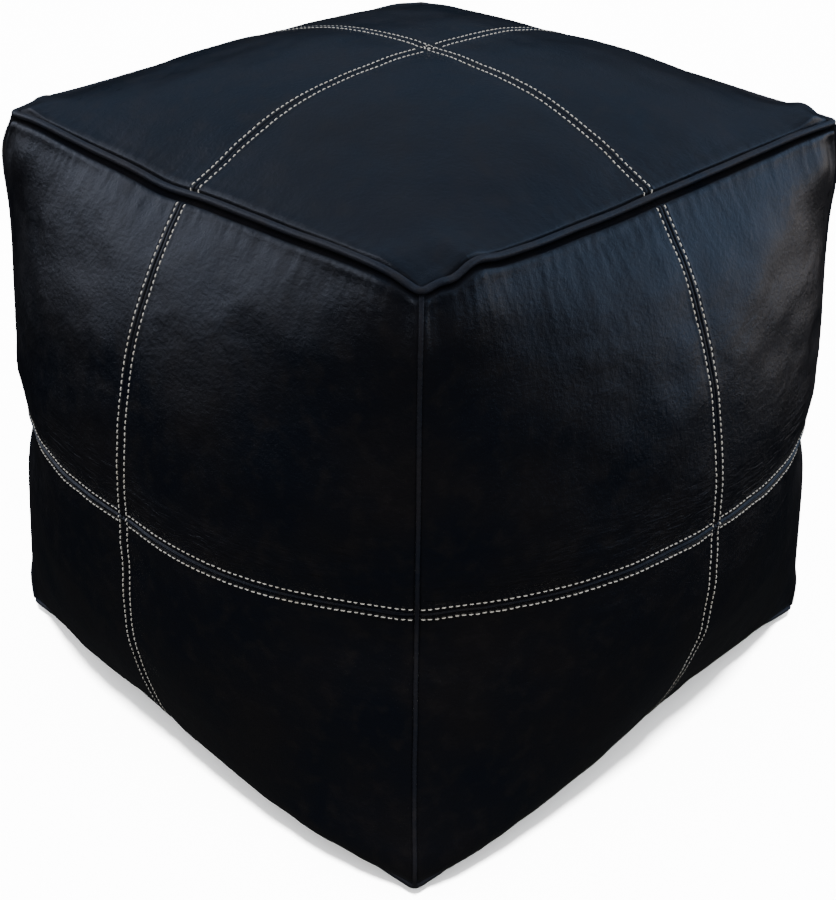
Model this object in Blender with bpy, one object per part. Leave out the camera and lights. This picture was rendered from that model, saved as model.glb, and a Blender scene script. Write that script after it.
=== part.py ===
"""Square leather floor pouf: a stuffed cube sewn from quarter panels, with a corded rim, corner
welts, contrast topstitching and a zip in the base. Metres, +Z up, origin under the middle."""

import math

import bmesh
import bpy
from mathutils import Vector

# Driving dimensions of the stuffed cover.
RIM_HALF = 0.2055            # half the side of the top edge, between the rim's centre lines
RIM_HEIGHT = 0.4325          # height of the top edge
SPREAD_HALF = 0.2260         # the same near the floor, where the weight spreads the corners
TUCK = (0.0100, 0.0350)      # how far the corners tuck in below that, and over what height
BASE_HALF = SPREAD_HALF - TUCK[0]    # half the side of the bottom edge
BASE_HEIGHT = 0.0110         # height of the bottom edge above the floor
TOP_CROWN = 0.0486           # rise of the top between its edges
TOP_POWER = 2.69             # how square the crown is
SIDE_BULGE = 0.0670          # swell of each side beyond the line between its corners
WAIST_HEIGHT = 0.1960        # height of the widest line
UPPER_CURVE = (2.64, 0.826)  # powers of the side's profile above the waist
LOWER_CURVE = (2.50, 0.803)  # and below it
SQUARENESS = (1.290, 0.287, -0.139)  # of the side's plan curve at the base, the waist and the rim
CROSS_HEIGHT = 0.2220        # where the two seams of a side cross
SEAM_END_HEIGHT = 0.2184     # where its level seam meets the corner welts
BASE_FLAT = 0.1810           # half the side of the square that rests on the floor

# Leather, cords and thread.
LEATHER = 0.0015
GAP = 0.0003                 # between sewn neighbours
SEAM_HALF_GAP = 0.0002
PIPING_RADIUS = 0.0024
PIPING_BORE = 0.0016
CORD_RADIUS = 0.0013
WELT_RADIUS = 0.0015
WELT_CLEARANCE = 0.0019      # from a corner's line to the panels
THREAD_RADIUS = 0.0006
ROW_OFFSET = 0.0038          # from a seam to each of its two rows of thread
ROW_END = 0.0080             # from the last stitch to the piping
CROSS_CLEARANCE = 0.0052     # where level rows stop beside the upright seam

# The zip in the base, along X.
ZIP_HALF_LENGTH = 0.1600
ZIP_SLOT_HALF_WIDTH = 0.0075
ZIP_SLOT_END = (0.1660, 0.1710)
ZIP_RECESS = 0.0070          # height of the folded edges beside the zip
RECESS_EDGES = (0.0220, 0.0480)
TAPE = (0.0034, 0.0200, 0.0006)      # inner edge, outer edge, thickness
TAPE_HEIGHT = 0.0088
TEETH = (0.0008, 0.0031, 0.0026)     # inner edge, outer edge, height
TEETH_MIDDLE = 0.0091
SLIDER_X = 0.1500
SLIDER_HALF = (0.0065, 0.0055)
SLIDER_PLATE = 0.0011
SLIDER_CLEARANCE = 0.0004
SLIDER_WEB_HALF = 0.0005
BRIDGE = (0.0045, 0.0010, 0.0007)    # leg's distance, thickness, half width
BRIDGE_WINDOW = 0.0021
TAB_LENGTH = 0.0280
TAB_HALF_WIDTH = 0.0034
TAB_THICKNESS = 0.0012
TAB_EYE = (0.0012, 0.0062)   # half width and far end of the eye
STOP_LENGTH = 0.0020

STUFFING_INSET = 0.0055
STUFFING_RECESS = 0.0110     # extra room over the zip

PANEL_CELLS = 7
SIDES = ("front", "right", "rear", "left")
WHITE_THREAD = (0.80, 0.78, 0.72)
BLACK_LEATHER = (0.012, 0.013, 0.017)


def clear_scene():
    for item in list(bpy.data.objects):
        bpy.data.objects.remove(item, do_unlink=True)


def material(name, colour, roughness, metallic=0.0):
    made = bpy.data.materials.new(name)
    made.use_nodes = True
    shader = made.node_tree.nodes["Principled BSDF"]
    shader.inputs["Base Color"].default_value = (*colour, 1.0)
    shader.inputs["Roughness"].default_value = roughness
    shader.inputs["Metallic"].default_value = metallic
    made.diffuse_color = (*colour, 1.0)
    return made


def add_object(name, mesh_builder, finish, smooth=True):
    """Makes the object NAME from a bmesh that MESH_BUILDER fills."""
    bm = bmesh.new()
    mesh_builder(bm)
    mesh = bpy.data.meshes.new(name)
    bm.to_mesh(mesh)
    bm.free()
    mesh.materials.append(finish)
    for face in mesh.polygons:
        face.use_smooth = smooth
    made = bpy.data.objects.new(name, mesh)
    bpy.context.scene.collection.objects.link(made)
    return made


def mix(low, high, share):
    return low + (high - low) * share


def turned(point, quarters):
    """POINT turned about Z by quarter turns, from the front side to the others."""
    x, y, z = point
    for _ in range(quarters):
        x, y = -y, x
    return Vector((x, y, z))


# The stuffed shape.
def corner_half(z):
    """Half the distance between neighbouring corner lines at height Z."""
    above = z - BASE_HEIGHT
    tuck, height = TUCK
    straight = mix(SPREAD_HALF, RIM_HALF, above / (RIM_HEIGHT - BASE_HEIGHT))
    return straight - tuck * max(1 - above / height, 0.0) ** 2


def side_swell(u, z):
    """How far a side stands out of the line between its corners: U runs from -1 to 1 across it."""
    above = min(max((z - WAIST_HEIGHT) / (RIM_HEIGHT - WAIST_HEIGHT), 0.0), 1.0)
    below = min(max((WAIST_HEIGHT - z) / (WAIST_HEIGHT - BASE_HEIGHT), 0.0), 1.0)
    share, (power, root) = (above, UPPER_CURVE) if z > WAIST_HEIGHT else (below, LOWER_CURVE)
    at_base, at_waist, at_rim = SQUARENESS
    square = at_waist + (at_rim - at_waist) * above**3 + (at_base - at_waist) * below**3
    across = (1 - u * u) * (1 + square * u * u)
    return SIDE_BULGE * max(1 - share**power, 0.0) ** root * across


def side_point(u, z):
    half = corner_half(z)
    return Vector((u * half, -half - side_swell(u, z), z))


def side_normal(u, z):
    step = 1e-3
    across = side_point(u + step, z) - side_point(u - step, z)
    up = side_point(u, z + step * RIM_HALF) - side_point(u, z - step * RIM_HALF)
    return across.cross(up).normalized()


def seam_height(u):
    return SEAM_END_HEIGHT + (CROSS_HEIGHT - SEAM_END_HEIGHT) * (1 - u * u)


def top_height(x, y):
    rise = 1.0
    for along in (x, y):
        rise *= max(1 - abs(along / RIM_HALF) ** TOP_POWER, 0.0)
    return RIM_HEIGHT + TOP_CROWN * rise


def base_height(x, y, recess):
    """Height of the base's outer face, which is 0 where it rests."""
    edge = 1.0
    for along in (x, y):
        edge *= 1 - min(max((abs(along) - BASE_FLAT) / (BASE_HALF - BASE_FLAT), 0.0), 1.0) ** 2
    near, far = RECESS_EDGES
    groove = 1 - min(max((abs(y) - near) / (far - near), 0.0), 1.0)
    return BASE_HEIGHT * (1 - edge) + recess * groove * edge


# Panels.
def add_panel(name, rows, finish, flip=False):
    """A leather panel whose outer face is the grid of points ROWS, thickened inwards."""

    def build(bm):
        grid = [[bm.verts.new(point) for point in row] for row in rows]
        for low, high in zip(grid, grid[1:]):
            for i in range(len(low) - 1):
                corners = [low[i], low[i + 1], high[i + 1], high[i]]
                bm.faces.new(corners[::-1] if flip else corners)

    panel = add_object(name, build, finish)
    shell = panel.modifiers.new("Thickness", "SOLIDIFY")
    shell.thickness = LEATHER
    shell.offset = -1.0
    shell.use_even_offset = True
    return panel


def shares(cells, ends=1.0):
    """Shares from 0 to 1, closer together near 1 by a cosine where ENDS is 1."""
    return [mix(i / cells, math.sin(i / cells * math.pi / 2), ends) for i in range(cells + 1)]


def panel_across(right):
    """The values of u across one panel, from its left edge to its right one."""
    middle = SEAM_HALF_GAP / RIM_HALF
    corner = 1 - WELT_CLEARANCE / RIM_HALF
    values = [mix(middle, corner, share) for share in shares(PANEL_CELLS, 0.5)]
    return values if right else [-u for u in reversed(values)]


def piping_inset(u, full):
    """Clearance from a piping's line to a side's edge, less where the side leaves it steeply."""
    return full - 0.0011 * (1 - u * u)


def panel_heights(u, upper):
    clearance = PIPING_RADIUS + GAP + 0.0002
    if upper:
        start = seam_height(u) + SEAM_HALF_GAP
        end = RIM_HEIGHT - piping_inset(u, clearance)
    else:
        start = seam_height(u) - SEAM_HALF_GAP
        end = BASE_HEIGHT + piping_inset(u, clearance)
    heights = [mix(start, end, share) for share in shares(PANEL_CELLS, 0.7)]
    return heights if upper else heights[::-1]


def add_side_panels(finish):
    for quarters, side in enumerate(SIDES):
        for upper in (True, False):
            for right in (True, False):
                columns = [
                    [turned(side_point(u, z), quarters) for z in panel_heights(u, upper)]
                    for u in panel_across(right)
                ]
                level = "upper" if upper else "lower"
                hand = "right" if right else "left"
                add_panel(f"{side}_panel_{level}_{hand}", columns, finish, flip=True)


def add_top_panels(finish):
    edge = RIM_HALF - PIPING_RADIUS - GAP - 0.0001
    values = [mix(SEAM_HALF_GAP, edge, share) for share in shares(PANEL_CELLS, 0.5)]
    for quarters, corner in enumerate(("rear_right", "rear_left", "front_left", "front_right")):
        rows = [[turned((x, y, top_height(x, y)), quarters) for x in values] for y in values]
        add_panel(f"top_panel_{corner}", rows, finish)


def add_base_panels(finish):
    edge = BASE_HALF - PIPING_RADIUS - GAP - 0.0001
    slot_near, slot_far = ZIP_SLOT_END
    right = [slot_near / 2, slot_near, slot_far, BASE_FLAT, mix(BASE_FLAT, edge, 0.55), edge]
    across = [-x for x in reversed(right)] + [0.0] + right
    outward = [*RECESS_EDGES, mix(RECESS_EDGES[1], BASE_FLAT, 0.5), BASE_FLAT, right[-2], edge]
    for quarters, name in ((0, "base_panel_rear"), (2, "base_panel_front")):
        rows = []
        for x in across:
            inner = ZIP_SLOT_HALF_WIDTH if abs(x) <= slot_near else SEAM_HALF_GAP
            row = [(x, y, base_height(x, y, ZIP_RECESS)) for y in (inner, *outward)]
            rows.append([turned(point, quarters) for point in row])
        add_panel(name, rows, finish)


# Piping and welts.
def add_square_ring(name, profile, half, height, finish):
    """Sweeps PROFILE, points (outwards, up), round a mitred square of half side HALF."""

    def build(bm):
        rings = []
        for quarters in range(4):
            points = [turned((half + p, half + p, height + q), quarters) for p, q in profile]
            rings.append([bm.verts.new(point) for point in points])
        count = len(profile)
        for low, high in zip(rings, rings[1:] + rings[:1]):
            for i in range(count):
                j = (i + 1) % count
                bm.faces.new([low[i], high[i], high[j], low[j]])
        bmesh.ops.recalc_face_normals(bm, faces=bm.faces)

    return add_object(name, build, finish)


def arc(radius, start, end, count):
    angles = [mix(start, end, i / (count - 1)) for i in range(count)]
    return [(radius * math.cos(a), radius * math.sin(a)) for a in angles]


def add_piping(name, half, height, slot_angle, leather, cotton):
    """A leather strip wrapped round a cord, open along the seam that it is sewn into."""
    start = slot_angle + math.radians(35)
    end = slot_angle + math.radians(325)
    cover = arc(PIPING_RADIUS, start, end, 11) + arc(PIPING_BORE, end, start, 11)
    add_square_ring(f"{name}_cover", cover, half, height, leather)
    cord = arc(CORD_RADIUS, 0, 2 * math.pi * 7 / 8, 8)
    add_square_ring(f"{name}_cord", cord, half, height, cotton)


def add_corner_welts(finish):
    clearance = PIPING_RADIUS + 2 * GAP
    low = BASE_HEIGHT + clearance
    high = RIM_HEIGHT - clearance
    for quarters, corner in enumerate(("rear_right", "rear_left", "front_left", "front_right")):

        def build(bm):
            rings = []
            for share in (0.0, 0.02, 0.045, 0.08, 0.5, 1.0):
                z = mix(low, high, share)
                middle = corner_half(z) + GAP / 2
                ring = []
                for across, out in arc(WELT_RADIUS, 0, 2 * math.pi * 9 / 10, 10):
                    x = middle + (out + across) * math.sqrt(0.5)
                    y = middle + (out - across) * math.sqrt(0.5)
                    ring.append(bm.verts.new(turned((x, y, z), quarters)))
                rings.append(ring)
            for below, above in zip(rings, rings[1:]):
                for i in range(len(below)):
                    j = (i + 1) % len(below)
                    bm.faces.new([below[i], below[j], above[j], above[i]])
            bm.faces.new(rings[0])
            bm.faces.new(rings[-1])
            bmesh.ops.recalc_face_normals(bm, faces=bm.faces)

        add_object(f"corner_welt_{corner}", build, finish)


# Thread.
def add_thread(name, points, finish):
    """A thread along POINTS: the two rows of a seam are one hairpin."""
    curve = bpy.data.curves.new(name, "CURVE")
    curve.dimensions = "3D"
    curve.bevel_depth = THREAD_RADIUS
    curve.bevel_resolution = 0
    curve.use_fill_caps = True
    spline = curve.splines.new("POLY")
    spline.points.add(len(points) - 1)
    for knot, point in zip(spline.points, points):
        knot.co = (*point, 1.0)
    curve.materials.append(finish)
    made = bpy.data.objects.new(name, curve)
    bpy.context.scene.collection.objects.link(made)
    return made


LIFT = THREAD_RADIUS + GAP + 0.0002


def on_side(u, z, quarters):
    return turned(side_point(u, z) + LIFT * side_normal(u, z), quarters)


def on_top(x, y, quarters=0):
    step = 1e-4
    slope_x = (top_height(x + step, y) - top_height(x - step, y)) / (2 * step)
    slope_y = (top_height(x, y + step) - top_height(x, y - step)) / (2 * step)
    normal = Vector((-slope_x, -slope_y, 1.0)).normalized()
    return turned(Vector((x, y, top_height(x, y))) + LIFT * normal, quarters)


def add_upright_threads(finish):
    low = BASE_HEIGHT + ROW_END
    high = RIM_HEIGHT - ROW_END
    lower = [z for z in panel_heights(0.0, False) if z > low]
    upper = [z for z in panel_heights(0.0, True) if z < high]
    heights = [low] + lower + upper + [high]
    for quarters, side in enumerate(SIDES):
        left = [on_side(-ROW_OFFSET / corner_half(z), z, quarters) for z in heights]
        right = [on_side(ROW_OFFSET / corner_half(z), z, quarters) for z in heights]
        add_thread(f"{side}_thread_upright", left + right[::-1], finish)


def add_level_threads(finish):
    first = CROSS_CLEARANCE / RIM_HALF
    last = 1 - ROW_END / RIM_HALF
    inner = [u for u in panel_across(True) if first < u < last]
    for quarters, side in enumerate(SIDES):
        for hand, sign in (("left", -1), ("right", 1)):
            across = [sign * u for u in [first] + inner + [last]]
            over = [on_side(u, seam_height(u) + ROW_OFFSET, quarters) for u in across]
            under = [on_side(u, seam_height(u) - ROW_OFFSET, quarters) for u in across]
            add_thread(f"{side}_thread_level_{hand}", over + under[::-1], finish)


def add_top_threads(finish):
    edge = RIM_HALF - PIPING_RADIUS - GAP - 0.0001
    lines = [mix(SEAM_HALF_GAP, edge, share) for share in shares(PANEL_CELLS, 0.5)]
    last = RIM_HALF - ROW_END
    inner = [x for x in lines if CROSS_CLEARANCE < x < last]
    half = [CROSS_CLEARANCE] + inner + [last]
    through = [-x for x in reversed(half)] + [0.0] + half
    row = [on_top(x, ROW_OFFSET) for x in through]
    back = [on_top(x, -ROW_OFFSET) for x in reversed(through)]
    add_thread("top_thread_across", row + back, finish)
    for quarters, name in ((1, "top_thread_rear"), (3, "top_thread_front")):
        row = [on_top(x, ROW_OFFSET, quarters) for x in half]
        back = [on_top(x, -ROW_OFFSET, quarters) for x in reversed(half)]
        add_thread(name, row + back, finish)


def add_base_threads(finish):
    height = ZIP_RECESS - LIFT
    y = mix(ZIP_SLOT_HALF_WIDTH, RECESS_EDGES[0], 0.35)
    for name, side in (("base_thread_rear", 1), ("base_thread_front", -1)):
        ends = [(-ZIP_HALF_LENGTH, side * y, height), (ZIP_HALF_LENGTH, side * y, height)]
        add_thread(name, ends, finish)


# Stuffing.
def add_stuffing(finish):
    """The fill, which is the cover's shape less its leather, with room left over the zip."""
    inset = STUFFING_INSET
    near, far = (edge / BASE_HALF for edge in RECESS_EDGES)
    right = [near, far, 0.5, BASE_FLAT / BASE_HALF, 1.0]
    lines = [-u for u in reversed(right)] + right
    rise = [0.0, 0.05, 0.13, 0.28, 0.45, 0.62, 0.78, 0.90, 0.97, 1.0]

    def side(u, v):
        z = mix(BASE_HEIGHT, RIM_HEIGHT, v)
        half = corner_half(z) - inset
        low = BASE_HEIGHT + inset
        high = RIM_HEIGHT - inset
        return Vector((u * half, -half - side_swell(u, z), mix(low, high, v)))

    def top(u, w):
        x, y = u * RIM_HALF, w * RIM_HALF
        shrink = 1 - inset / RIM_HALF
        return Vector((x * shrink, y * shrink, top_height(x, y) - inset))

    def base(u, w):
        x, y = u * BASE_HALF, w * BASE_HALF
        shrink = 1 - inset / BASE_HALF
        return Vector((x * shrink, -y * shrink, base_height(x, y, STUFFING_RECESS) + inset))

    def build(bm):
        grids = [[[turned(side(u, v), q) for u in lines] for v in rise] for q in range(4)]
        grids += [[[face(u, w) for u in lines] for w in lines] for face in (top, base)]
        for grid in grids:
            made = [[bm.verts.new(point) for point in row] for row in grid]
            for low, high in zip(made, made[1:]):
                for i in range(len(low) - 1):
                    bm.faces.new([low[i], low[i + 1], high[i + 1], high[i]])
        bmesh.ops.remove_doubles(bm, verts=bm.verts, dist=1e-5)
        bmesh.ops.recalc_face_normals(bm, faces=bm.faces)

    return add_object("stuffing", build, finish)


# Zip.
def box(bm, low, high):
    corners = [(x, y, z) for x in (low[0], high[0]) for y in (low[1], high[1]) for z in (low[2], high[2])]
    verts = [bm.verts.new(corner) for corner in corners]
    for loop in ((0, 1, 3, 2), (4, 6, 7, 5), (0, 4, 5, 1), (2, 3, 7, 6), (0, 2, 6, 4), (1, 5, 7, 3)):
        bm.faces.new([verts[i] for i in loop])


def add_box(name, low, high, finish):
    low, high = zip(*[sorted(pair) for pair in zip(low, high)])
    return add_object(name, lambda bm: box(bm, low, high), finish, smooth=False)


def add_outline(name, outline, plane, low, high, finish):
    """A flat shape whose OUTLINE lies in PLANE, "xy", "xz" or "yz", extruded from LOW to HIGH."""

    def place(point, along):
        a, b = point
        return {"xy": (a, b, along), "xz": (a, along, b), "yz": (along, a, b)}[plane]

    def build(bm):
        face = bm.faces.new([bm.verts.new(place(point, low)) for point in outline])
        extruded = bmesh.ops.extrude_face_region(bm, geom=[face])
        moved = [item for item in extruded["geom"] if isinstance(item, bmesh.types.BMVert)]
        step = Vector(place((0.0, 0.0), high)) - Vector(place((0.0, 0.0), low))
        bmesh.ops.translate(bm, vec=step, verts=moved)
        bmesh.ops.recalc_face_normals(bm, faces=bm.faces)

    return add_object(name, build, finish, smooth=False)


def combine(target, cutter, operation):
    """Joins CUTTER to TARGET, or cuts it away, and hides it."""
    boolean = target.modifiers.new(cutter.name, "BOOLEAN")
    boolean.operation = operation
    boolean.solver = "EXACT"
    boolean.object = cutter
    cutter.hide_render = True
    cutter.display_type = "WIRE"
    cutter.parent = target


def add_zip_chain(cloth, metal):
    tape_in, tape_out, tape_thick = TAPE
    teeth_in, teeth_out, teeth_high = TEETH
    teeth_low = TEETH_MIDDLE - teeth_high / 2
    length = ZIP_HALF_LENGTH
    for name, side in (("rear", 1), ("front", -1)):
        low = (-length - 0.004, side * tape_in, TAPE_HEIGHT)
        high = (length + 0.004, side * tape_out, TAPE_HEIGHT + tape_thick)
        add_box(f"zip_tape_{name}", low, high, cloth)
        low = (-length + STOP_LENGTH, side * teeth_in, teeth_low)
        high = (length - STOP_LENGTH, side * teeth_out, teeth_low + teeth_high)
        add_box(f"zip_teeth_{name}", low, high, metal)
    for name, side in (("closed", 1), ("open", -1)):
        low = (side * (length - STOP_LENGTH + GAP), -teeth_out, teeth_low)
        high = (side * (length + GAP), teeth_out, teeth_low + teeth_high)
        add_box(f"zip_stop_{name}_end", low, high, metal)


def slider_levels():
    """Heights of the slider's lower plate's underside and of the pull tab's pivot."""
    teeth_low = TEETH_MIDDLE - TEETH[2] / 2
    underside = teeth_low - SLIDER_CLEARANCE - SLIDER_PLATE
    return underside, underside - BRIDGE_WINDOW / 2


def add_slider(metal):
    """Two plates joined by a web between the teeth, with a bridge for the pull tab below."""
    underside, _ = slider_levels()
    half_length, half_width = SLIDER_HALF
    web = SLIDER_WEB_HALF
    low_top = underside + SLIDER_PLATE
    high_bottom = TEETH_MIDDLE + TEETH[2] / 2 + SLIDER_CLEARANCE
    high_top = high_bottom + SLIDER_PLATE
    right = [(half_width, underside), (half_width, low_top), (web, low_top), (web, high_bottom)]
    right += [(half_width, high_bottom), (half_width, high_top)]
    outline = right + [(-y, z) for y, z in reversed(right)]
    slider = add_outline("zip_slider", outline, "yz", -half_length, half_length, metal)
    reach, thick, half = BRIDGE
    bottom = underside - BRIDGE_WINDOW
    sunk = underside + SLIDER_PLATE / 2
    inside = reach - thick / 2
    outside = reach + thick / 2
    legs = [(-outside, sunk), (-outside, bottom - thick), (outside, bottom - thick), (outside, sunk)]
    legs += [(inside, sunk), (inside, bottom), (-inside, bottom), (-inside, sunk)]
    bridge = add_outline("slider_bridge_shape", legs, "xz", -half, half, metal)
    combine(slider, bridge, "UNION")
    slider.location = (SLIDER_X, 0.0, 0.0)
    return slider


def add_pull_tab(metal, slider):
    """The pull tab, whose eye's crossbar turns inside the slider's bridge."""
    _, pivot = slider_levels()
    half = TAB_THICKNESS / 2
    wide = TAB_HALF_WIDTH
    neck = wide * 0.78
    tip = arc(wide, math.radians(90), math.radians(270), 7)
    outline = [(half, -neck), (half, neck), (-0.4 * TAB_LENGTH, wide)]
    outline += [(x - TAB_LENGTH + wide, y) for x, y in tip]
    outline += [(-0.4 * TAB_LENGTH, -wide)]
    tab = add_outline("zip_pull_tab", outline, "xy", -half, half, metal)
    eye_half, eye_end = TAB_EYE
    hole = [(-half, -eye_half), (-half, eye_half), (-eye_end, eye_half), (-eye_end, -eye_half)]
    eye = add_outline("tab_eye_shape", hole, "xy", -2 * half, 2 * half, metal)
    combine(tab, eye, "DIFFERENCE")
    tab.parent = slider
    tab.location = (0.0, 0.0, pivot)
    return tab


def main():
    clear_scene()
    leather = material("black_leather", BLACK_LEATHER, 0.42)
    thread = material("off_white_thread", WHITE_THREAD, 0.7)
    cotton = material("cotton_cord", (0.55, 0.52, 0.45), 0.9)
    fill = material("cotton_stuffing", (0.78, 0.75, 0.68), 0.95)
    cloth = material("zip_tape_cloth", (0.02, 0.02, 0.022), 0.85)
    metal = material("zip_metal", (0.10, 0.10, 0.11), 0.35, 1.0)
    add_top_panels(leather)
    add_side_panels(leather)
    add_base_panels(leather)
    add_piping("rim_piping", RIM_HALF, RIM_HEIGHT, math.radians(225), leather, cotton)
    add_piping("base_piping", BASE_HALF, BASE_HEIGHT, math.radians(135), leather, cotton)
    add_corner_welts(leather)
    add_top_threads(thread)
    add_upright_threads(thread)
    add_level_threads(thread)
    add_base_threads(thread)
    add_stuffing(fill)
    add_zip_chain(cloth, metal)
    add_pull_tab(metal, add_slider(metal))


main()
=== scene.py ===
"""Looks of a square leather floor pouf: quarter panels with creased seams, contrast topstitching,
corded rim and base, corner welts, a zip in the base and the stuffing inside. Metres, +Z up."""

import itertools
import math

import bmesh
import bpy
import numpy as np
from mathutils import Matrix, Vector


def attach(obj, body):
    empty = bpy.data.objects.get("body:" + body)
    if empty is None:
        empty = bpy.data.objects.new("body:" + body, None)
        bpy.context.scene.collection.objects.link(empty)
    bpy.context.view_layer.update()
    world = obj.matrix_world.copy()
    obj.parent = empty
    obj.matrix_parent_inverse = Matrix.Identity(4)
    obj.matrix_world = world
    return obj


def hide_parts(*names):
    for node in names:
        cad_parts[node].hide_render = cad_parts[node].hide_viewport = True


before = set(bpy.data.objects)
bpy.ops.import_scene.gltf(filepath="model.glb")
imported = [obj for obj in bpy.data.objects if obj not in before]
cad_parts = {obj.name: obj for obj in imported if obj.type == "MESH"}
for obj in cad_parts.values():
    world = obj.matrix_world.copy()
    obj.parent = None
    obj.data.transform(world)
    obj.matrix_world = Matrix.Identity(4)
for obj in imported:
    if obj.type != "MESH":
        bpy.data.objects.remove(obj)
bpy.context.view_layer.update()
MM = 0.001

# The stuffed shape, as the part has it.
RIM_HALF = 0.2055
RIM_HEIGHT = 0.4325
SPREAD_HALF = 0.2260
TUCK_DEPTH, TUCK_HEIGHT = 0.0100, 0.0350
BASE_HALF = SPREAD_HALF - TUCK_DEPTH
BASE_HEIGHT = 0.0110
TOP_CROWN = 0.0486
TOP_POWER = 2.69
SIDE_BULGE = 0.0670
WAIST_HEIGHT = 0.1960
UPPER_CURVE = (2.64, 0.826)
LOWER_CURVE = (2.50, 0.803)
SQUARENESS = (1.290, 0.287, -0.139)
CROSS_HEIGHT = 0.2220
SEAM_END_HEIGHT = 0.2184
BASE_FLAT = 0.1810
RECESS_EDGES = (0.0220, 0.0480)
ZIP_RECESS = 0.0070
ZIP_SLOT_HALF_WIDTH = 0.0075
ZIP_SLOT_END = (0.1660, 0.1710)

# Leather, cords and thread.
LEATHER = 0.0015
SEAM_HALF_GAP = 0.0002
PIPING_RADIUS = 0.0024
PIPING_BORE = 0.0016
CORD_RADIUS = 0.0012
WELT_RADIUS = 0.0015
ROW_OFFSET = 0.0038
LEVEL_ROW_OFFSET = 0.0042
STITCH_PITCH = 0.0043
STITCH_LENGTH = 0.0031
STITCH_RADIUS = 0.00037
ROW_END = 0.0070
RIM_ROW_END = 0.0023
LEVEL_ROW_END = 0.0014
ROW_TAIL = 0.0008
CROSS_CLEARANCE = 0.0052
TOP_CLEARANCE = 0.0085
KNOT_RADIUS = 0.0034
# How unevenly the stitches are sewn.
PLACE_SPREAD, LENGTH_SPREAD, SWAY_SPREAD, SLANT_SPREAD = 0.00012, 0.00015, 0.00010, 0.00012

SIDES = ("front", "right", "rear", "left")
CORNERS = ("rear_right", "rear_left", "front_left", "front_right")


def smooth_step(low, high, value):
    share = np.clip((value - low) / (high - low), 0.0, 1.0)
    return share * share * (3 - 2 * share)


def bell(distance, width):
    return np.exp(-((distance / width) ** 2))


def turned(points, quarters):
    """POINTS turned about Z by quarter turns, from the front side to the others."""
    points = np.array(points, float)
    for _ in range(quarters % 4):
        x, y = points[..., 0].copy(), points[..., 1].copy()
        points[..., 0], points[..., 1] = -y, x
    return points


# Smooth noise.
GRADIENTS = np.random.default_rng(7).normal(size=(256, 3))
GRADIENTS /= np.linalg.norm(GRADIENTS, axis=1)[:, None]
SHUFFLE = np.random.default_rng(11).permutation(256)


def noise(x, y, z=0.0):
    """Smooth noise from about -1 to 1, with a period of about 2 in each direction."""
    where = np.stack(np.broadcast_arrays(x, y, z), axis=-1).astype(float)
    cell = np.floor(where).astype(int)
    inside = where - cell
    fade = inside**3 * (inside * (inside * 6 - 15) + 10)
    total = np.zeros(where.shape[:-1])
    for corner in itertools.product((0, 1), repeat=3):
        i, j, k = (cell[..., axis] + corner[axis] for axis in range(3))
        picked = SHUFFLE[(SHUFFLE[(SHUFFLE[i % 256] + j) % 256] + k) % 256]
        reach = inside - np.array(corner)
        weight = np.prod(np.where(np.array(corner) == 1, fade, 1 - fade), axis=-1)
        total += weight * np.sum(GRADIENTS[picked] * reach, axis=-1)
    return 1.6 * total


def ridges(x, y, z=0.0):
    """Sharp-crested folds from 0 to 1."""
    return (1 - np.minimum(np.abs(noise(x, y, z)) * 2.2, 1.0)) ** 2


# The smooth shape of each face.
def corner_half(z):
    above = z - BASE_HEIGHT
    straight = SPREAD_HALF + (RIM_HALF - SPREAD_HALF) * above / (RIM_HEIGHT - BASE_HEIGHT)
    return straight - TUCK_DEPTH * np.maximum(1 - above / TUCK_HEIGHT, 0.0) ** 2


def side_swell(u, z):
    """How far a side stands out of the line between its corners: U runs from -1 to 1 across it."""
    above = np.clip((z - WAIST_HEIGHT) / (RIM_HEIGHT - WAIST_HEIGHT), 0.0, 1.0)
    below = np.clip((WAIST_HEIGHT - z) / (WAIST_HEIGHT - BASE_HEIGHT), 0.0, 1.0)
    upper = np.maximum(1 - above ** UPPER_CURVE[0], 0.0) ** UPPER_CURVE[1]
    lower = np.maximum(1 - below ** LOWER_CURVE[0], 0.0) ** LOWER_CURVE[1]
    at_base, at_waist, at_rim = SQUARENESS
    square = at_waist + (at_rim - at_waist) * above**3 + (at_base - at_waist) * below**3
    return SIDE_BULGE * upper * lower * (1 - u * u) * (1 + square * u * u)


def side_point(u, z):
    u, z = np.broadcast_arrays(u, z)
    half = corner_half(z)
    return np.stack([u * half, -half - side_swell(u, z), z], axis=-1)


def seam_height(u):
    return SEAM_END_HEIGHT + (CROSS_HEIGHT - SEAM_END_HEIGHT) * (1 - u * u)


def top_point(x, y):
    x, y = np.broadcast_arrays(x, y)
    rise = np.maximum(1 - np.abs(x / RIM_HALF) ** TOP_POWER, 0.0)
    rise = rise * np.maximum(1 - np.abs(y / RIM_HALF) ** TOP_POWER, 0.0)
    return np.stack([x, y, RIM_HEIGHT + TOP_CROWN * rise], axis=-1)


def base_point(x, y):
    x, y = np.broadcast_arrays(x, y)
    edge = 1.0
    for along in (x, y):
        edge = edge * (1 - np.clip((np.abs(along) - BASE_FLAT) / (BASE_HALF - BASE_FLAT), 0, 1) ** 2)
    near, far = RECESS_EDGES
    groove = 1 - np.clip((np.abs(y) - near) / (far - near), 0.0, 1.0)
    height = BASE_HEIGHT * (1 - edge) + ZIP_RECESS * groove * edge
    return np.stack([x, y, height], axis=-1)


# How the finished cover settles: every piece follows this.
# For each rim corner: its drop, how far the drop reaches along X and along Y, and its pull inwards.
RIM_CORNERS = {
    (1, -1): (0.0070, 0.019, 0.020, 0.0045),
    (-1, -1): (0.0020, 0.020, 0.022, 0.0050),
    (1, 1): (0.0012, 0.028, 0.022, 0.0010),
    (-1, 1): (0.0030, 0.024, 0.020, 0.0030),
}
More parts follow.
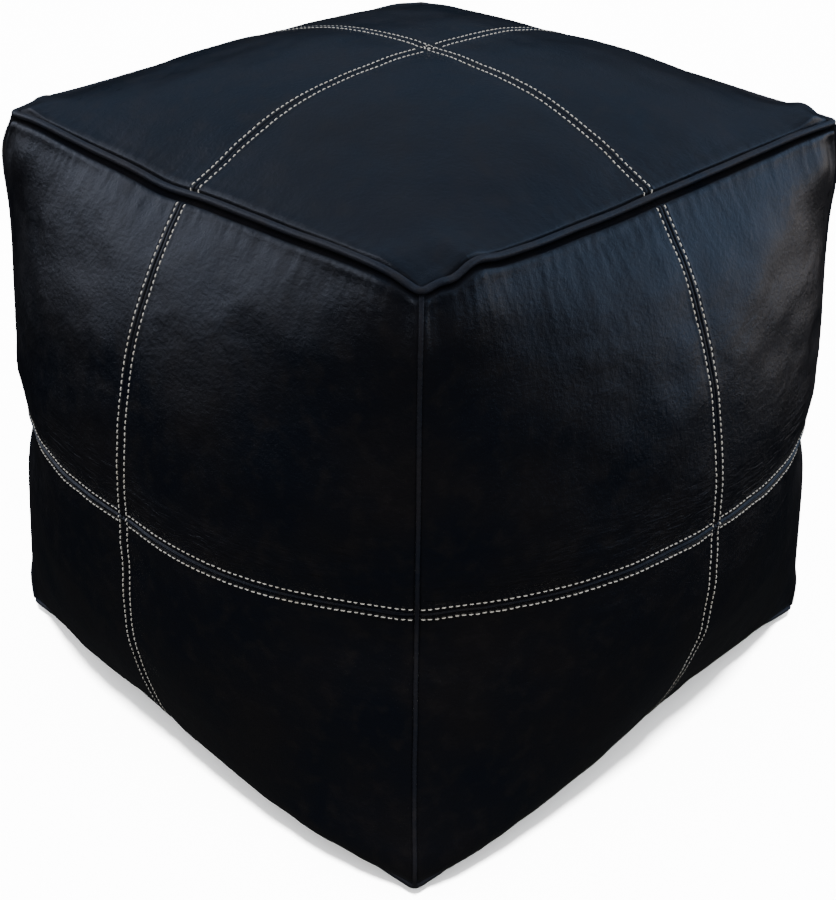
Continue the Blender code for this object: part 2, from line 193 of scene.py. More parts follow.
# Rises and dips of the rim: middle X and Y, reach along X and Y, height.
RIM_WAVES = (
    (0.2055, -0.2055, 0.125, 0.085, 0.0070),
    (-0.0220, -0.2055, 0.032, 0.060, -0.0032),
    (-0.1600, -0.2055, 0.035, 0.080, 0.0022),
    (0.2055, 0.1450, 0.080, 0.070, 0.0012),
    (-0.2055, -0.0600, 0.070, 0.060, 0.0020),
    (0.0700, 0.2055, 0.060, 0.070, 0.0024),
    (0.2055, -0.1800, 0.030, 0.009, -0.0030),
    (0.2055, -0.1600, 0.030, 0.011, 0.0022),
)
# Where the front and the right side stand further out or in than their mirror images: middle along
# the side, middle height, reach along and up, and the distance outwards.
FRONT_SWELLS = (
    (0.145, 0.012, 0.130, 0.050, 0.0140),
    (-0.010, 0.190, 0.080, 0.120, -0.0045),
)
RIGHT_SWELLS = (
    (-0.190, 0.012, 0.085, 0.050, 0.0130),
    (0.065, 0.035, 0.110, 0.090, -0.0125),
)
# How far the level seams rise towards the outer corners and drop along the front, how far the base's
# corners spread or pinch, and how far the crown of the top sits towards the rear.
LEVEL_END_RISE = 0.0050
LEVEL_FRONT_DROP = 0.0024
BASE_CORNER_SPREAD = 0.0062
BASE_CORNER_PINCH = 0.0040
CROWN_SHIFT = 0.0070


def corner_lean(z):
    """How far the corner lines stand out at height Z, from the fullness under the rim to the pinch."""
    full = 0.0042 * bell(z - 0.400, 0.032)
    waist = 0.0046 * smooth_step(0.290, 0.190, z) * smooth_step(0.020, 0.055, z)
    pinch = 0.0078 * bell(z - 0.196, 0.034)
    return full - waist - pinch + 0.0030 * bell(z - 0.008, 0.012)


def settled(points):
    """POINTS moved as the leather gives: rim corners sag and level seams pull the corners in."""
    points = np.array(points, float)
    x, y, z = points[..., 0], points[..., 1], points[..., 2]
    from_rim = z - RIM_HEIGHT
    near_rim = np.where(from_rim < 0, bell(from_rim, 0.040), bell(from_rim, 0.060))
    rise = np.zeros(x.shape)
    inwards = np.zeros(x.shape)
    for (side_x, side_y), (depth, reach_x, reach_y, pull) in RIM_CORNERS.items():
        near = bell(x - side_x * RIM_HALF, reach_x) * bell(y - side_y * RIM_HALF, reach_y)
        rise -= depth * near * near_rim
        inwards += pull * near * bell(from_rim, 0.014)
    for middle_x, middle_y, reach_x, reach_y, height in RIM_WAVES:
        rise += height * bell(x - middle_x, reach_x) * bell(y - middle_y, reach_y) * near_rim
    half = corner_half(np.clip(z, BASE_HEIGHT, RIM_HEIGHT))
    to_corner = smooth_step(0.30, 0.97, np.minimum(np.abs(x), np.abs(y)) / half)
    outer_end = smooth_step(0.3, 0.9, x * y / half**2)
    other_end = smooth_step(0.3, 0.9, -x * y / half**2)
    out = corner_lean(z) * to_corner - inwards
    out += BASE_CORNER_SPREAD * bell(z - 0.006, 0.016) * to_corner * outer_end
    out -= BASE_CORNER_PINCH * bell(z - 0.008, 0.014) * to_corner * other_end
    moved = points.copy()
    moved[..., 0] += np.sign(x) * out * math.sqrt(0.5)
    moved[..., 1] += np.sign(y) * out * math.sqrt(0.5)
    for middle, height, reach_along, reach_up, amount in FRONT_SWELLS:
        near = bell(x - middle, reach_along) * bell(z - height, reach_up)
        moved[..., 1] -= amount * near * smooth_step(0.08, 0.20, -y)
    for middle, height, reach_along, reach_up, amount in RIGHT_SWELLS:
        near = bell(y - middle, reach_along) * bell(z - height, reach_up)
        moved[..., 0] += amount * near * smooth_step(0.08, 0.20, x)
    from_seam = z - SEAM_END_HEIGHT
    drop = bell(from_seam, 0.050) * bell(x - 0.110, 0.130) * smooth_step(0.10, 0.20, -y)
    rise += LEVEL_END_RISE * bell(from_seam, 0.060) * outer_end - LEVEL_FRONT_DROP * drop
    moved[..., 1] += CROWN_SHIFT * bell(np.hypot(x, y), 0.110) * smooth_step(0.0, 0.030, from_rim)
    wave = noise(x / 0.045, y / 0.045, 3.3)
    sway = noise(x / 0.060, y / 0.060, 8.7)
    edge = bell(from_rim, 0.012) * smooth_step(0.85, 1.0, np.maximum(np.abs(x), np.abs(y)) / RIM_HALF)
    moved[..., 2] += rise + 0.0007 * wave * edge
    moved[..., 0] += np.sign(x) * 0.0006 * sway * edge
    moved[..., 1] += np.sign(y) * 0.0006 * sway * edge
    return moved


# Relief of the leather: heights along the normal, from distances to the seams and edges.
def stitched_strip(s):
    """The doubled strip beside a seam and the dent along its stitches, in millimetres."""
    return 0.40 * (1 - smooth_step(4.8, 6.8, s)) - 0.50 * bell(s - 3.8, 0.8)


def ridged_seam(distance):
    """A topstitched seam that stands up in a rib, with a crease on each side of it."""
    s = distance / MM
    return MM * (0.90 * bell(s, 0.78) - 0.80 * bell(s - 1.45, 0.45) + stitched_strip(s))


def grooved_seam(distance):
    """A topstitched seam that closes in a fine groove between two rounded folds."""
    s = distance / MM
    return MM * (0.30 * bell(s - 1.70, 0.80) - 0.95 * bell(s, 0.42) + stitched_strip(s))


def edge_relief(distance, depth, reach):
    """The leather turning down beside a piping or a welt."""
    return -depth * np.exp(-distance / reach)


def lip_relief(distance, swell, depth, reach):
    """The leather swelling out beside a piping, then dropping by DEPTH into the seam."""
    drop = 1 - smooth_step(0.15 * reach, reach, distance)
    return swell * bell(distance - 0.0055, 0.0035) - depth * drop


def side_relief(side, across, level, rim, corner, base):
    """Relief of side number SIDE; the rest are distances to its seams and edges. ACROSS, from the
    upright seam, and LEVEL, from the level seam, have a sign."""
    shift = 5.3 * side
    open_area = smooth_step(0.004, 0.030, np.minimum(np.minimum(rim, corner), base))
    height = grooved_seam(np.abs(across)) + ridged_seam(np.abs(level))
    height -= MM * 0.9 * (bell(across, 0.016) + bell(level, 0.014)) * open_area
    height += lip_relief(rim, 0.0009, 0.0046, 0.0040) + edge_relief(base, 0.0020, 0.0018)
    height += edge_relief(corner, 0.0012, 0.0011)
    # Broad lumps of the stuffing.
    lumps = 2.0 * noise(across / 0.075, level / 0.065, shift)
    lumps += 0.8 * noise(across / 0.030, level / 0.026, shift + 1.7)
    height += MM * lumps * open_area
    # Puckers that hang from the rim and rise from the base.
    pucker = ridges(across / 0.0105 + 0.3 * noise(across / 0.03, rim / 0.03, shift), rim / 0.050, shift)
    pucker += 0.6 * ridges(across / 0.0052, rim / 0.030, shift + 2.0)
    height += MM * 0.75 * pucker * np.exp(-rim / 0.026) * smooth_step(0.001, 0.008, rim)
    pucker = ridges(across / 0.0120, base / 0.045, shift + 4.0)
    height += MM * 0.7 * pucker * np.exp(-base / 0.022) * smooth_step(0.001, 0.008, base)
    # Long shallow folds that follow the level seam.
    bow = level - 0.004 * noise(across / 0.09, 0.0, shift + 3.0)
    fold = ridges(across / 0.090, bow / 0.0105, shift + 6.0)
    strength = bell(np.abs(level) - 0.026, 0.016) * smooth_step(-0.1, 0.5, noise(across / 0.05, 0, shift))
    height += MM * 0.8 * fold * strength * open_area
    # Fullness and dents beside the rim's corners, and small folds from the pinched corners.
    height += MM * 2.4 * bell(corner - 0.030, 0.017) * bell(rim - 0.022, 0.018)
    dent = bell(corner - 0.010, 0.007) * bell(rim - 0.018, 0.014) * smooth_step(0.001, 0.006, corner)
    height -= MM * 1.9 * dent
    crease = ridges(corner / 0.060, level / 0.0075, shift + 9.0) * smooth_step(0.002, 0.010, corner)
    height += MM * 0.8 * crease * bell(corner, 0.045) * bell(level, 0.06)
    # Fine crossing creases.
    tilt = 0.55 * across + 0.85 * level
    cross = ridges(tilt / 0.0085, (across - level) / 0.030, shift + 12.0)
    tilt = -0.65 * across + 0.75 * level
    cross += ridges(tilt / 0.0095, (across + level) / 0.034, shift + 14.0)
    patch = smooth_step(-0.15, 0.45, noise(across / 0.050, level / 0.045, shift + 20.0))
    height += MM * 0.22 * cross * patch * open_area
    return height


def top_relief(x, y, edge, corner):
    """Relief of the top, fuller at its front left and rear right corners."""
    open_area = smooth_step(0.004, 0.035, edge)
    height = grooved_seam(np.abs(x)) + grooved_seam(np.abs(y))
    height -= MM * 0.9 * (bell(x, 0.015) + bell(y, 0.015)) * open_area
    height += lip_relief(edge, 0.0006, 0.0044, 0.0026)
    lumps = 1.8 * noise(x / 0.080, y / 0.080, 31.0) + 0.6 * noise(x / 0.030, y / 0.030, 33.0)
    height += MM * lumps * open_area
    along = np.where(np.abs(x) > np.abs(y), y, x)
    pucker = ridges(along / 0.011, edge / 0.045, 35.0) + 0.5 * ridges(along / 0.0055, edge / 0.03, 36.0)
    height += MM * 0.55 * pucker * np.exp(-edge / 0.020) * smooth_step(0.001, 0.008, edge)
    fullness = np.where((x < 0) & (y < 0), 4.5, np.where((x > 0) & (y > 0), 6.5, 2.0))
    height += MM * fullness * bell(corner - np.where(fullness > 2.5, 0.022, 0.034), 0.015)
    return height


# Grids.
EDGE_STEPS = MM * np.array([0, 0.3, 0.65, 1.05, 1.5, 2.1, 2.8, 3.4, 4.0, 4.7, 5.5, 6.4, 7.6, 9.2, 11.2])
STEP = 0.0023


def graded(length):
    """Shares from 0 to 1 along LENGTH, fine beside both ends."""
    last = EDGE_STEPS[-1]
    count = max(2, round((length - 2 * last) / STEP) + 1)
    middle = np.linspace(last, length - last, count)
    return np.concatenate([EDGE_STEPS[:-1], middle, length - EDGE_STEPS[-2::-1]]) / length


def run_lengths(points, axis):
    """Distance along the grid of POINTS from its first line, along AXIS."""
    steps = np.linalg.norm(np.diff(points, axis=axis), axis=-1)
    total = np.cumsum(steps, axis=axis)
    start = np.zeros_like(np.take(total, [0], axis=axis))
    return np.concatenate([start, total], axis=axis)


def grid_normals(points):
    first = np.gradient(points, axis=0)
    second = np.gradient(points, axis=1)
    normal = np.cross(first, second)
    return normal / np.maximum(np.linalg.norm(normal, axis=-1, keepdims=True), 1e-12)


def add_mesh(name, points, faces, material, smooth=True):
    mesh = bpy.data.meshes.new(name)
    mesh.from_pydata(np.asarray(points, float).tolist(), [], [list(map(int, face)) for face in faces])
    mesh.materials.append(material)
    mesh.polygons.foreach_set("use_smooth", [smooth] * len(mesh.polygons))
    mesh.update()
    made = bpy.data.objects.new(name, mesh)
    bpy.context.scene.collection.objects.link(made)
    return made


def grid_faces(rows, columns, closed_rows=False, closed_columns=False):
    """Quads of a grid of points, numbered row by row."""
    last_row = rows if closed_rows else rows - 1
    last_column = columns if closed_columns else columns - 1
    i, j = np.meshgrid(np.arange(last_row), np.arange(last_column), indexing="ij")
    low = (i % rows) * columns
    high = ((i + 1) % rows) * columns
    here, there = j % columns, (j + 1) % columns
    quads = np.stack([low + here, high + here, high + there, low + there], axis=-1)
    return quads.reshape(-1, 4)


def rod_faces(rows, columns):
    """Faces of a rod of ROWS rings with COLUMNS points each, closed at both ends."""
    faces = grid_faces(rows, columns, closed_columns=True)[:, ::-1].tolist()
    last = (rows - 1) * columns
    return [*faces, list(range(columns)), list(range(last, last + columns))[::-1]]


def shell_faces(rows, columns):
    """Faces of a sheet of ROWS by COLUMNS points and of its copy below, closed round the edge."""
    outer = grid_faces(rows, columns)
    inner = outer[:, ::-1] + rows * columns
    index = np.arange(rows * columns).reshape(rows, columns)
    loop = np.concatenate([index[0, :-1], index[:-1, -1], index[-1, :0:-1], index[:0:-1, 0]])
    after = np.roll(loop, -1)
    below = rows * columns
    rim = np.stack([after, after + below, loop + below, loop], axis=-1)
    return np.concatenate([outer, inner, rim[:, ::-1]])


class Panel:
    """A leather panel: its grid of outer points and normals, and the values its lines stand for."""

    def __init__(self, first, shares, points, flip=False):
        self.first = first
        self.shares = shares
        self.points = points
        self.normals = grid_normals(points) * (-1 if flip else 1)
        self.flip = flip

    def at(self, first, share):
        """Points and normals at values between the grid's lines."""
        i = np.interp(first, self.first, np.arange(len(self.first)))
        j = np.interp(share, self.shares, np.arange(len(self.shares)))
        i0 = np.minimum(i.astype(int), len(self.first) - 2)
        j0 = np.minimum(j.astype(int), len(self.shares) - 2)
        fi, fj = (i - i0)[..., None], (j - j0)[..., None]

        def between(grid):
            low = grid[i0, j0] * (1 - fj) + grid[i0, j0 + 1] * fj
            high = grid[i0 + 1, j0] * (1 - fj) + grid[i0 + 1, j0 + 1] * fj
            return low * (1 - fi) + high * fi

        normals = between(self.normals)
        return between(self.points), normals / np.linalg.norm(normals, axis=-1, keepdims=True)

    def build(self, name, material):
        below = self.points - LEATHER * self.normals
        rows, columns = self.points.shape[:2]
        faces = shell_faces(rows, columns)
        if self.flip:
            faces = faces[:, ::-1]
        points = np.concatenate([self.points.reshape(-1, 3), below.reshape(-1, 3)])
        add_piece(name, points, faces, material)


def dress(piece, body, node):
    """Puts PIECE on BODY in place of the CAD NODE."""
    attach(piece, body)
    piece.name = node + "_skin"
    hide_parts(node)
    return piece


def add_piece(node, points, faces, material, smooth=True):
    """A piece of the cover that stands for the CAD NODE."""
    return dress(add_mesh(node, points, faces, material, smooth), "cover", node)


# How far the panels stop short of the pipings and the welts, how far from an edge the pull into its
# seam is felt, and where that seam is, in from the piping's line and up or down from it.
RIM_CLEARANCE = 0.0019
WELT_CLEARANCE = 0.0013
TUCK_REACH = 0.0010
SIDE_TUCK = (0.0042, 0.0021)
BASE_TUCK = (0.0010, 0.0020)
TOP_TUCK = (0.0021, 0.0004)


def side_heights(u, shares, upper):
    """Heights at SHARES of the way up an upper or a lower side panel."""
    start = seam_height(u) + (SEAM_HALF_GAP if upper else -SEAM_HALF_GAP)
    end = RIM_HEIGHT - RIM_CLEARANCE if upper else BASE_HEIGHT + RIM_CLEARANCE
    low, high = (start, end) if upper else (end, start)
    return low + (high - low) * shares


def tucked(points, distance, target):
    """POINTS led to TARGET where DISTANCE to the sewn edge is small, as leather goes into its seam."""
    near = bell(distance, TUCK_REACH)[..., None]
    return points * (1 - near) + target * near


def side_panel(side, upper, right):
    """One quarter of a side."""
    inner, outer = SEAM_HALF_GAP / RIM_HALF, 1 - WELT_CLEARANCE / RIM_HALF
    across = graded(RIM_HALF * 1.08)
    u = inner + (outer - inner) * across
    if not right:
        u = -u[::-1]
    shares = graded(RIM_HEIGHT - SEAM_END_HEIGHT if upper else SEAM_END_HEIGHT - BASE_HEIGHT)
    z = side_heights(u[:, None], shares[None, :], upper)
    points = side_point(u[:, None], z)
    from_left = run_lengths(points, 0)
    from_low = run_lengths(points, 1)
    from_right = from_left[-1:] - from_left
    from_high = from_low[:, -1:] - from_low
    if right:
        across_seam, corner = from_left + SEAM_HALF_GAP, from_right
    else:
        across_seam, corner = -from_right - SEAM_HALF_GAP, from_left
    if upper:
        level, rim, base = from_low + SEAM_HALF_GAP, from_high, from_low + 0.21
    else:
        level, rim, base = -from_high - SEAM_HALF_GAP, from_high + 0.21, from_low
    height = side_relief(side, across_seam, level, rim, corner, base)
    points = points + height[..., None] * grid_normals(points)
    if upper:
        distance, half, seam = rim, RIM_HALF, RIM_HEIGHT - SIDE_TUCK[1]
    else:
        distance, half, seam = base, BASE_HALF, BASE_HEIGHT + BASE_TUCK[1]
    inside = SIDE_TUCK[0] if upper else BASE_TUCK[0]
    x, y, z = np.broadcast_arrays(u[:, None] * half, inside - half, np.full_like(height, seam))
    points = tucked(points, distance, np.stack([x, y, z], axis=-1))
    points = settled(turned(points, side))
    return Panel(u, shares, points)


def top_panel(quarters):
    """The top's quarter with x and y above 0, turned by QUARTERS."""
    edge = RIM_HALF - RIM_CLEARANCE
    values = SEAM_HALF_GAP + (edge - SEAM_HALF_GAP) * graded(RIM_HALF)
    points = top_point(values[:, None], values[None, :])
    from_x = run_lengths(points, 0)
    from_y = run_lengths(points, 1)
    to_edge = np.minimum(from_x[-1:] - from_x, from_y[:, -1:] - from_y)
    to_corner = np.hypot(from_x[-1:] - from_x, from_y[:, -1:] - from_y)
    signs = turned([1.0, 1.0, 0.0], quarters)
    if quarters % 2:
        x, y = signs[0] * from_y, signs[1] * from_x
    else:
        x, y = signs[0] * from_x, signs[1] * from_y
    height = top_relief(x + signs[0] * SEAM_HALF_GAP, y + signs[1] * SEAM_HALF_GAP, to_edge, to_corner)
    points = points + height[..., None] * grid_normals(points)
    for axis, to_side in enumerate((from_x[-1:] - from_x, from_y[:, -1:] - from_y)):
        target = points.copy()
        target[..., axis] = RIM_HALF - TOP_TUCK[0]
        target[..., 2] = RIM_HEIGHT + TOP_TUCK[1]
        points = tucked(points, to_side, target)
    points = settled(turned(points, quarters))
    return Panel(values, values, points)


def base_panel(quarters):
    """Half of the base, up to the slot for the zip, turned by QUARTERS."""
    edge = BASE_HALF - RIM_CLEARANCE
    half = edge * graded(BASE_HALF)
    x = np.concatenate([-half[:0:-1], half])
    slot = np.interp(np.abs(x), ZIP_SLOT_END, (ZIP_SLOT_HALF_WIDTH, SEAM_HALF_GAP))
    shares = graded(BASE_HALF)
    y = slot[:, None] + (edge - slot[:, None]) * shares[None, :]
    points = base_point(x[:, None], y)
    to_edge = np.minimum(edge - np.abs(x[:, None]), edge - y)
    height = edge_relief(to_edge, 0.0018, 0.0016)
    points = points - height[..., None] * grid_normals(points)
    points[..., 2] = np.maximum(points[..., 2], 0.0)
    points = settled(turned(points, quarters))
    return Panel(x, shares, points, flip=True)


# Thread.
def stitch_row(points, normals, start, seed):
    """Stitches along a line of POINTS: vertices and faces of one rounded loop of thread each."""
    steps = np.linalg.norm(np.diff(points, axis=0), axis=1)
    along = np.concatenate([[0.0], np.cumsum(steps)])
    random = np.random.default_rng(seed)
    room = along[-1] - start - ROW_TAIL + STITCH_PITCH - STITCH_LENGTH
    count = int(room / STITCH_PITCH)
    pitch = room / count
    shares = np.array([0.0, 0.04, 0.12, 0.27, 0.5, 0.73, 0.88, 0.96, 1.0])
    thick = np.array([0.35, 0.72, 0.95, 1.0, 1.04, 1.0, 0.95, 0.72, 0.35])
    lift = MM * np.array([-0.75, -0.35, 0.05, 0.26, 0.30, 0.26, 0.05, -0.35, -0.75])
    around = np.linspace(0, 2 * math.pi, 8, endpoint=False)
    vertices, faces = [], []
    for index in range(count):
        begin = max(start + index * pitch + random.normal(0, PLACE_SPREAD), start)
        place = begin + shares * (STITCH_LENGTH + random.normal(0, LENGTH_SPREAD))
        sway = random.normal(0, SWAY_SPREAD)
        sway = sway + np.linspace(-1, 1, len(shares)) * random.normal(0, SLANT_SPREAD)
        middle = np.stack([np.interp(place, along, points[:, axis]) for axis in range(3)], axis=-1)
        up = np.stack([np.interp(place, along, normals[:, axis]) for axis in range(3)], axis=-1)
        up /= np.linalg.norm(up, axis=1)[:, None]
        ahead = np.gradient(middle, axis=0)
        ahead /= np.linalg.norm(ahead, axis=1)[:, None]
        beside = np.cross(ahead, up)
        middle = middle + up * lift[:, None] + beside * sway[:, None]
        radius = STITCH_RADIUS * thick[:, None, None]
        ring = np.cos(around)[None, :, None] * beside[:, None] * 1.08
        ring = ring + np.sin(around)[None, :, None] * up[:, None] * 0.9
        rings = middle[:, None] + radius * ring
        first = index * rings[..., 0].size
        vertices.append(rings.reshape(-1, 3))
        faces.extend([[corner + first for corner in face] for face in rod_faces(*rings.shape[:2])])
    return np.concatenate(vertices), faces


def add_stitches(name, rows, material):
    """One piece of thread made of several rows of stitches."""
    vertices, faces, count = [], [], 0
    for points, normals, start, seed in rows:
        made, quads = stitch_row(points, normals, start, seed)
        vertices.append(made)
        faces.extend([[index + count for index in face] for face in quads])
        count += len(made)
    add_piece(name, np.concatenate(vertices), faces, material)


def joined(*runs):
    """Runs of (points, normals) as one."""
    points = np.concatenate([run[0] for run in runs])
    normals = np.concatenate([run[1] for run in runs])
    return points, normals


def side_stitches(side, panels, material):
    """The rows of one side's seams."""
    name = SIDES[side]
    rows = []
    for hand, sign in (("left", -1), ("right", 1)):
        runs = []
        for upper in (False, True):
            panel = panels[(side, upper, hand == "right")]
            span = CROSS_HEIGHT - BASE_HEIGHT
            ends = (0.0, 1 - RIM_ROW_END / span) if upper else (ROW_END / span, 1.0)
            share = np.linspace(*ends, 160)
            z = side_heights(0.0, share, upper)
            runs.append(panel.at(sign * ROW_OFFSET / corner_half(z), share))
        points, normals = joined(*runs)
        rows.append((points, normals, 0.001 * (sign > 0), 10 * side + (sign > 0)))
    add_stitches(f"{name}_thread_upright", rows, material)
    for hand, sign in (("left", -1), ("right", 1)):
        rows = []
        for upper in (False, True):
            panel = panels[(side, upper, hand == "right")]
            u = sign * np.linspace(CROSS_CLEARANCE / RIM_HALF, 1 - LEVEL_ROW_END / RIM_HALF, 200)
            span = RIM_HEIGHT - RIM_CLEARANCE - seam_height(u) if upper else seam_height(u) - BASE_HEIGHT
            share = LEVEL_ROW_OFFSET / span if upper else 1 - LEVEL_ROW_OFFSET / span
            points, normals = panel.at(u, share)
            rows.append((points, normals, 0.0, 40 + 10 * side + 2 * upper + (sign > 0)))
        add_stitches(f"{name}_thread_level_{hand}", rows, material)


def top_stitches(panels, material):
    """The rows of the top's seams; the seam along X runs through the middle."""
    last = RIM_HALF - RIM_ROW_END
    line = np.linspace(0.0, last, 220)

    def row(quarters, along_first):
        panel = panels[quarters]
        offset = np.full_like(line, ROW_OFFSET)
        return panel.at(line, offset) if along_first else panel.at(offset, line)

    def backwards(run):
        return run[0][::-1], run[1][::-1]

    # Quarter 0 has x and y above 0; 1 has x below 0, its first value along +Y; and so on.
    rear = joined(backwards(row(1, False)), row(0, True))
    front = joined(backwards(row(2, True)), row(3, False))
    # Where the seams meet, the thread is tied off in a small ring.
    angles = np.linspace(0, math.pi / 2, 12)
    ring = [panel.at(KNOT_RADIUS * np.cos(angles), KNOT_RADIUS * np.sin(angles)) for panel in panels]
    rows = [(*rear, 0.0, 201), (*front, 0.0, 202), (*joined(*ring), 0.0, 207)]
    add_stitches("top_thread_across", rows, material)
    clear = line >= TOP_CLEARANCE

    def cut(run):
        return run[0][clear], run[1][clear]

    rows = [(*cut(row(0, False)), 0.0, 203), (*cut(row(1, True)), 0.0, 204)]
    add_stitches("top_thread_rear", rows, material)
    rows = [(*cut(row(2, False)), 0.0, 205), (*cut(row(3, True)), 0.0, 206)]
    add_stitches("top_thread_front", rows, material)


# Piping and welts.
CORNER_ROUND = 0.0036
# The welt's raw edges run this many radii further inwards, between the panels.
WELT_TAIL = 3.4


def swept(path, profile):
    """Points of PROFILE, (out, up) pairs at each point of the closed PATH."""
    ahead = np.roll(path, -1, axis=0) - np.roll(path, 1, axis=0)
    ahead /= np.linalg.norm(ahead, axis=1)[:, None]
    out = np.cross(ahead, [0.0, 0.0, 1.0])
    out /= np.linalg.norm(out, axis=1)[:, None]
    up = np.cross(out, ahead)
    return path[:, None] + profile[..., :1] * out[:, None] + profile[..., 1:] * up[:, None]


def square_path(half, height, count=280):
    """A square line with rounded corners, counter-clockwise from the front's left end."""
    side = np.linspace(-1, 1, count)
    along = np.sign(side) * (1 - (1 - np.abs(side)) ** 1.25)
    straight = along * (half - CORNER_ROUND)
    one = np.stack([straight, np.full(count, -half), np.full(count, height)], axis=-1)
    angles = np.linspace(0, math.pi / 2, 9)[1:-1]
    turn_x = half - CORNER_ROUND + CORNER_ROUND * np.sin(angles)
    turn_y = -half + CORNER_ROUND - CORNER_ROUND * np.cos(angles)
    bend = np.stack([turn_x, turn_y, np.full(len(angles), height)], axis=-1)
    quarter = np.concatenate([one, bend])
    return np.concatenate([turned(quarter, side) for side in range(4)])


def ring_profile(radius, bore, slot_angle, count=22):
    """A strip of leather wrapped round a cord, open at SLOT_ANGLE."""
    start, end = slot_angle + math.radians(24), slot_angle + math.radians(336)
    outer = np.linspace(start, end, count)
    inner = outer[::-1]
    outside = radius * np.stack([np.cos(outer), np.sin(outer)], axis=-1)
    inside = bore * np.stack([np.cos(inner), np.sin(inner)], axis=-1)
    return np.concatenate([outside, inside])


def add_piping(name, half, height, slot_angle, leather, cotton):
    """A leather strip wrapped round a cord, along a square seam."""
    path = square_path(half, height)
    x, y = path[:, 0], path[:, 1]
    along = np.arange(len(path)) / len(path) * 8 * half
    path = settled(path)
    profile = np.tile(ring_profile(PIPING_RADIUS, PIPING_BORE, slot_angle), (len(path), 1, 1))
    swell = 1 + 0.05 * noise(x / 0.022, y / 0.022, 1.0) + 0.025 * noise(x / 0.004, y / 0.004, 2.0)
    outer = np.arange(profile.shape[1]) < profile.shape[1] // 2
    profile[:, outer] *= swell[:, None, None]
    rings = swept(path, profile)
    faces = grid_faces(*rings.shape[:2], closed_rows=True, closed_columns=True)
    add_piece(f"{name}_cover", rings.reshape(-1, 3), faces, leather)
    # The cord: three twisted strands inside the strip.
    angles = np.linspace(0, 2 * math.pi, 24, endpoint=False)
    twist = along / 0.012 * 2 * math.pi
    lobes = 1 - 0.12 * (0.5 + 0.5 * np.cos(3 * (angles[None, :] - twist[:, None])))
    ring = np.stack([np.cos(angles), np.sin(angles)], axis=-1)
    rings = swept(path, CORD_RADIUS * lobes[..., None] * ring[None])
    faces = grid_faces(*rings.shape[:2], closed_rows=True, closed_columns=True)
    add_piece(f"{name}_cord", rings.reshape(-1, 3), faces, cotton)


def add_welts(leather):
    """A folded strip standing in each corner's seam."""
    low, high = BASE_HEIGHT + 0.002, RIM_HEIGHT - 0.0015
    z = np.linspace(low, high, 260)
    middle = corner_half(z) - 0.0002
    angles = np.linspace(0, 2 * math.pi, 16, endpoint=False)
    outwards, sideways = np.cos(angles), np.sin(angles)
    tail = outwards < -0.9
    outwards[tail] -= WELT_TAIL
    sideways[tail] = 0.30 * np.sign(np.round(sideways[tail], 6))
    for quarters, corner in enumerate(CORNERS):
        line = turned(np.stack([middle, middle, z], axis=-1), quarters)
        sway = noise(z / 0.030, quarters * 3.1, 0.5)
        out = turned([math.sqrt(0.5), math.sqrt(0.5), 0.0], quarters)
        beside = turned([-math.sqrt(0.5), math.sqrt(0.5), 0.0], quarters)
        line = settled(line + 0.0003 * sway[:, None] * beside + 0.00015 * sway[::-1, None] * out)
        size = WELT_RADIUS * (1 + 0.06 * noise(z / 0.008, quarters * 5.7, 0.9))
        profile = outwards[None, :, None] * out + sideways[None, :, None] * beside
        rings = line[:, None] + size[:, None, None] * profile
        faces = rod_faces(*rings.shape[:2])
        add_piece(f"corner_welt_{corner}", rings.reshape(-1, 3), faces, leather)


# Stuffing: how far it lies inside the cover, and the height that its lumps sink towards.
STUFFING_DEPTH = 0.0075
STUFFING_MIDDLE = 0.2200


def add_stuffing(material):
    """The fill: the cover's shape some way inside it, with the lumps of packed cotton."""
    near, far = (edge / BASE_HALF for edge in RECESS_EDGES)
    half = np.concatenate([[near / 2, near, far], np.linspace(0.3, 1.0, 22)])
    lines = np.concatenate([-half[::-1], half])
    rise = np.linspace(0.0, 1.0, 44)
    z = BASE_HEIGHT + (RIM_HEIGHT - BASE_HEIGHT) * rise
    side = side_point(lines[:, None], z[None, :])
    side[..., 0] *= 1 - STUFFING_DEPTH / corner_half(side[..., 2])
    side[..., 1] += STUFFING_DEPTH
    grids = [turned(side, quarters) for quarters in range(4)]
    top = top_point(lines[:, None] * RIM_HALF, lines[None, :] * RIM_HALF)
    top[..., :2] *= 1 - STUFFING_DEPTH / RIM_HALF
    base = base_point(lines[:, None] * BASE_HALF, lines[None, ::-1] * BASE_HALF)
    base[..., :2] *= 1 - STUFFING_DEPTH / BASE_HALF
    base[..., 2] += 0.003 * smooth_step(RECESS_EDGES[1], RECESS_EDGES[0], np.abs(base[..., 1]))
    points, faces, count = [], [], 0
    for index, grid in enumerate((*grids, top, base)):
        settled_grid = settled(grid)
        # The four sides close in from both ends, the top comes down and the base goes up.
        lift = (1 - 2 * rise, -1.0, 1.0)[max(index - 3, 0)]
        settled_grid[..., 2] += STUFFING_DEPTH * lift
        rows, columns = grid.shape[:2]
        faces.append(grid_faces(rows, columns) + count)
        points.append(settled_grid.reshape(-1, 3))
        count += rows * columns
    points = np.concatenate(points)
    _, first, index = np.unique(np.round(points / 2e-5), axis=0, return_index=True, return_inverse=True)
    faces = index.reshape(-1)[np.concatenate(faces)]
    points = points[first]
    inwards = np.array([0.0, 0.0, STUFFING_MIDDLE]) - points
    inwards /= np.linalg.norm(inwards, axis=1)[:, None]
    lump = 0.5 + 0.5 * noise(*(points / 0.022).T) + 0.25 * noise(*(points / 0.008).T)
    points = points + inwards * 0.0022 * np.clip(lump, 0, 1.5)[:, None]
    piece = add_piece("stuffing", points, faces, material)


